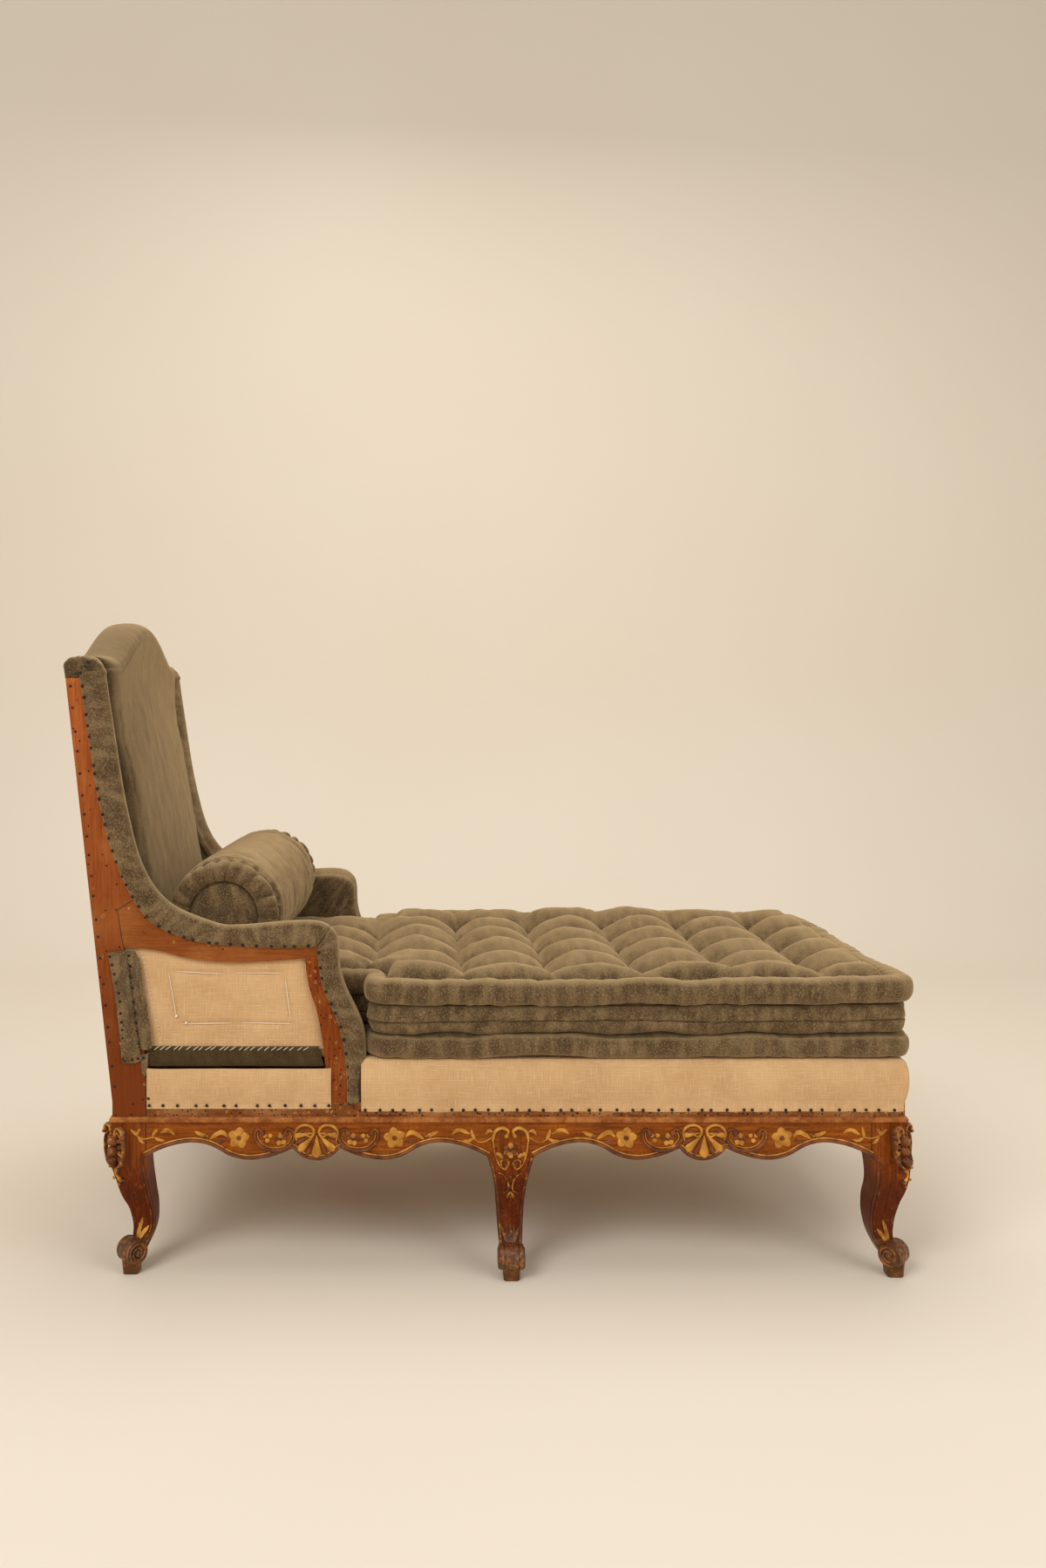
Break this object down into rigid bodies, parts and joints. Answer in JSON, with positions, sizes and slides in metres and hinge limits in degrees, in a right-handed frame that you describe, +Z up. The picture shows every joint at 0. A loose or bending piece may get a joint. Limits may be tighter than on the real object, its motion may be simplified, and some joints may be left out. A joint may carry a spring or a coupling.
{
  "type": "chaise longue",
  "caption": "Upholstered chaise longue on carved cabriole legs, with a high back, curved arms, a loose tufted mattress and a bolster.",
  "frame": {"origin": "on the floor, under the middle of the whole length and width", "axes": "+X runs from the head to the foot of the seat, +Z is up, -Y is the sitter's right-hand side, nodes named _right"},
  "size_m": [1.6067, 0.831, 1.239],
  "materials": {
    "raw_beech": "bare beech, oiled orange-brown, old tack holes",
    "carved_beech": "worn brown varnish with rubbed gilding on the carving",
    "frame_wood": "plain sawn beech",
    "hessian": "plain woven hessian",
    "webbing": "woven jute webbing",
    "stuffing": "stitched fibre stuffing",
    "dark_velvet": "reverse of cotton velvet",
    "velvet": "crushed grey-green cotton velvet"
  },
  "bodies": {
    "chaise": {"arm_panel_left": "hessian", "arm_panel_right": "hessian", "arm_pull_strip_left": "dark_velvet", "arm_pull_strip_right": "dark_velvet", "arm_rail_left": "raw_beech", "arm_rail_right": "raw_beech", "arm_stump_left": "raw_beech", "arm_stump_right": "raw_beech", "arm_tack_rail_left": "frame_wood", "arm_tack_rail_right": "frame_wood", "back_crest_rail": "frame_wood", "back_lower_rail": "frame_wood", "back_webbing": "webbing", "corner_blocks": "frame_wood", "crest_cover": "velvet", "foot_leg_left": "carved_beech", "foot_leg_right": "carved_beech", "foot_rail": "carved_beech", "inside_arm_pad_left": "velvet", "inside_arm_pad_right": "velvet", "inside_back_pad": "velvet", "middle_leg_left": "carved_beech", "middle_leg_right": "carved_beech", "outside_back_panel": "hessian", "platform_cover": "hessian", "platform_stuffing": "stuffing", "post_flap_left": "velvet", "post_flap_right": "velvet", "rear_post_left": "raw_beech", "rear_post_right": "raw_beech", "rear_rail": "frame_wood", "seat_canvas": "hessian", "seat_cross_rail": "frame_wood", "seat_webbing": "webbing", "side_rail_left": "carved_beech", "side_rail_right": "carved_beech", "wing_border_left": "velvet", "wing_border_right": "velvet"},
    "mattress": {"mattress": "velvet"},
    "bolster": {"bolster": "velvet"}
  },
  "joints": [
    {"name": "mattress_lift", "type": "slide", "parent": "chaise", "child": "mattress", "axis": [0, 0, 1], "range_m": [0, 0.3]},
    {"name": "bolster_lift", "type": "slide", "parent": "mattress", "child": "bolster", "axis": [0, 0, 1], "range_m": [0, 0.3]}
  ]
}
